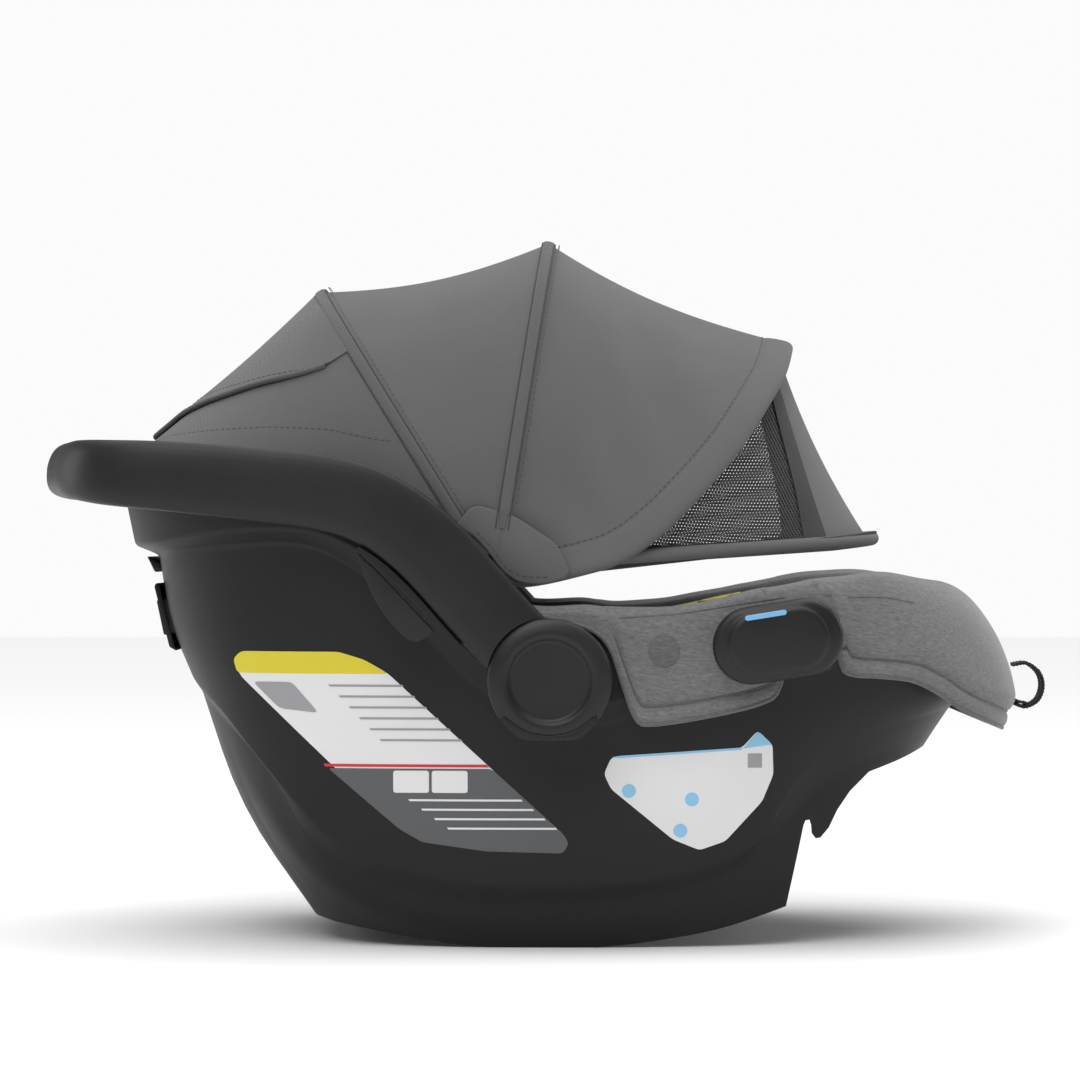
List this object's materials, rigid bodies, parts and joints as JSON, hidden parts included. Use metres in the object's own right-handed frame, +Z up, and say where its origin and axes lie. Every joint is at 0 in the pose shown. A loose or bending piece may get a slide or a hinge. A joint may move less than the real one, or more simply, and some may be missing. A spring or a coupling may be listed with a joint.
{
  "type": "infant car seat",
  "caption": "Infant carrier car seat with moulded shell, padded seat cover, five-point harness, folding canopy with sunshade, and a swinging carry handle.",
  "frame": {"origin": "centre of the footprint on the surface that the rockers stand on", "axes": "+X to the child's feet, +Y to the child's left, +Z up"},
  "size_m": [0.7352, 0.4392, 0.5086],
  "materials": {
    "shell_plastic": "fine grained",
    "trim_plastic": "satin",
    "blue_plastic": "satin",
    "red_plastic": "gloss",
    "steel": "zinc plated",
    "foam": "matte",
    "heather_fabric": "woven melange",
    "canopy_fabric": "fine plain weave",
    "webbing": "ribbed webbing"
  },
  "bodies": {
    "carrier": {"shell": "shell_plastic", "foam_liner": "foam", "seat_pad": "heather_fabric", "seat_cover_rim": "heather_fabric", "canopy_fabric_back": "canopy_fabric", "shoulder_belt_guide": "shell_plastic", "latch_shaft": "steel", "latch_spring": "steel", "buckle_housing": "trim_plastic", "crotch_strap": "webbing", "adjuster_housing": "trim_plastic", "adjuster_pull_loop": "webbing", "belt_guide_left": "trim_plastic", "belt_guide_right": "trim_plastic", "belt_mark_left": "blue_plastic", "belt_mark_right": "blue_plastic", "hub_boss_left": "shell_plastic", "hub_boss_right": "shell_plastic", "pivot_pin_left": "steel", "pivot_pin_right": "steel", "lock_ring_left": "steel", "lock_ring_right": "steel", "hub_cap_left": "trim_plastic", "hub_cap_right": "trim_plastic", "hub_crescent_left": "trim_plastic", "hub_crescent_right": "trim_plastic", "canopy_mount_left": "shell_plastic", "canopy_mount_right": "shell_plastic", "shoulder_strap_left": "webbing", "shoulder_strap_right": "webbing", "lap_strap_left": "webbing", "lap_strap_right": "webbing", "buckle_tongue_left": "steel", "buckle_tongue_right": "steel"},
    "carry_handle": {"handle": "trim_plastic", "arm_trim_left": "shell_plastic", "arm_trim_right": "shell_plastic"},
    "trigger_left": {"release_trigger_left": "trim_plastic"},
    "trigger_right": {"release_trigger_right": "trim_plastic"},
    "rear_bow": {"canopy_bow_rear": "trim_plastic", "canopy_fabric_middle": "canopy_fabric"},
    "mid_bow": {"canopy_bow_mid": "trim_plastic", "canopy_fabric_front": "canopy_fabric"},
    "front_bow": {"canopy_bow_front": "trim_plastic", "sunshade_fabric": "canopy_fabric"},
    "sunshade": {"sunshade_bow": "trim_plastic"},
    "headrest": {"headrest_board": "shell_plastic", "headrest_pad": "heather_fabric", "headrest_grip": "trim_plastic"},
    "chest_clip": {"chest_clip_left": "trim_plastic", "chest_clip_right": "trim_plastic"},
    "harness_button": {"buckle_button": "red_plastic"},
    "strap_button": {"adjuster_button": "trim_plastic"},
    "release_lever": {"base_release_lever": "trim_plastic"},
    "base_latch": {"latch_claws": "steel"}
  },
  "joints": [
    {"name": "handle_swing", "type": "hinge", "parent": "carrier", "child": "carry_handle", "pos_m": [0.002, 0, 0.19], "axis": [0, 1, 0], "range_deg": [0, 100]},
    {"name": "trigger_left_pull", "type": "slide", "parent": "carry_handle", "child": "trigger_left", "axis": [0.6796, 0, -0.7336], "range_m": [0, 0.005], "stiffness_N_per_m": 300, "springref_m": -0.003},
    {"name": "trigger_right_pull", "type": "slide", "parent": "carry_handle", "child": "trigger_right", "axis": [0.6796, 0, -0.7336], "range_m": [0, 0.005], "stiffness_N_per_m": 300, "springref_m": -0.003},
    {"name": "canopy_rear_fold", "type": "hinge", "parent": "carrier", "child": "rear_bow", "pos_m": [-0.0365, 0, 0.26], "axis": [0, 1, 0], "range_deg": [-24, 0], "deforming": ["canopy_fabric_back"]},
    {"name": "canopy_mid_fold", "type": "hinge", "parent": "rear_bow", "child": "mid_bow", "pos_m": [-0.0365, 0, 0.26], "axis": [0, 1, 0], "range_deg": [-38, 0], "deforming": ["canopy_fabric_middle"]},
    {"name": "canopy_front_fold", "type": "hinge", "parent": "mid_bow", "child": "front_bow", "pos_m": [-0.0365, 0, 0.26], "axis": [0, 1, 0], "range_deg": [-36, 0], "deforming": ["canopy_fabric_front"]},
    {"name": "sunshade_fold", "type": "hinge", "parent": "front_bow", "child": "sunshade", "pos_m": [-0.0365, 0, 0.26], "axis": [0, 1, 0], "range_deg": [-16, 0], "deforming": ["sunshade_fabric"]},
    {"name": "headrest_height", "type": "slide", "parent": "carrier", "child": "headrest", "axis": [-0.6981, 0, 0.716], "range_m": [0, 0.035]},
    {"name": "chest_clip_height", "type": "slide", "parent": "carrier", "child": "chest_clip", "axis": [-0.6981, 0, 0.716], "range_m": [0, 0.04]},
    {"name": "buckle_press", "type": "slide", "parent": "carrier", "child": "harness_button", "axis": [0.2079, 0, -0.9781], "range_m": [0, 0.002], "stiffness_N_per_m": 900, "springref_m": -0.001},
    {"name": "adjuster_press", "type": "slide", "parent": "carrier", "child": "strap_button", "axis": [0.7071, 0, -0.7071], "range_m": [0, 0.002], "stiffness_N_per_m": 700, "springref_m": -0.001},
    {"name": "base_release", "type": "slide", "parent": "carrier", "child": "release_lever", "axis": [0, 0, 1], "range_m": [0, 0.004], "stiffness_N_per_m": 500, "springref_m": -0.002},
    {"name": "base_latch_turn", "type": "hinge", "parent": "carrier", "child": "base_latch", "pos_m": [-0.1005, 0, 0.04], "axis": [0, 1, 0], "range_deg": [0, 20]}
  ],
  "couplings": [
    {"joint": "canopy_mid_fold", "follows": "canopy_front_fold", "ratio": 1.0555},
    {"joint": "canopy_rear_fold", "follows": "canopy_front_fold", "ratio": 0.6666},
    {"joint": "base_latch_turn", "follows": "base_release", "rad_per_m": 87.2}
  ]
}
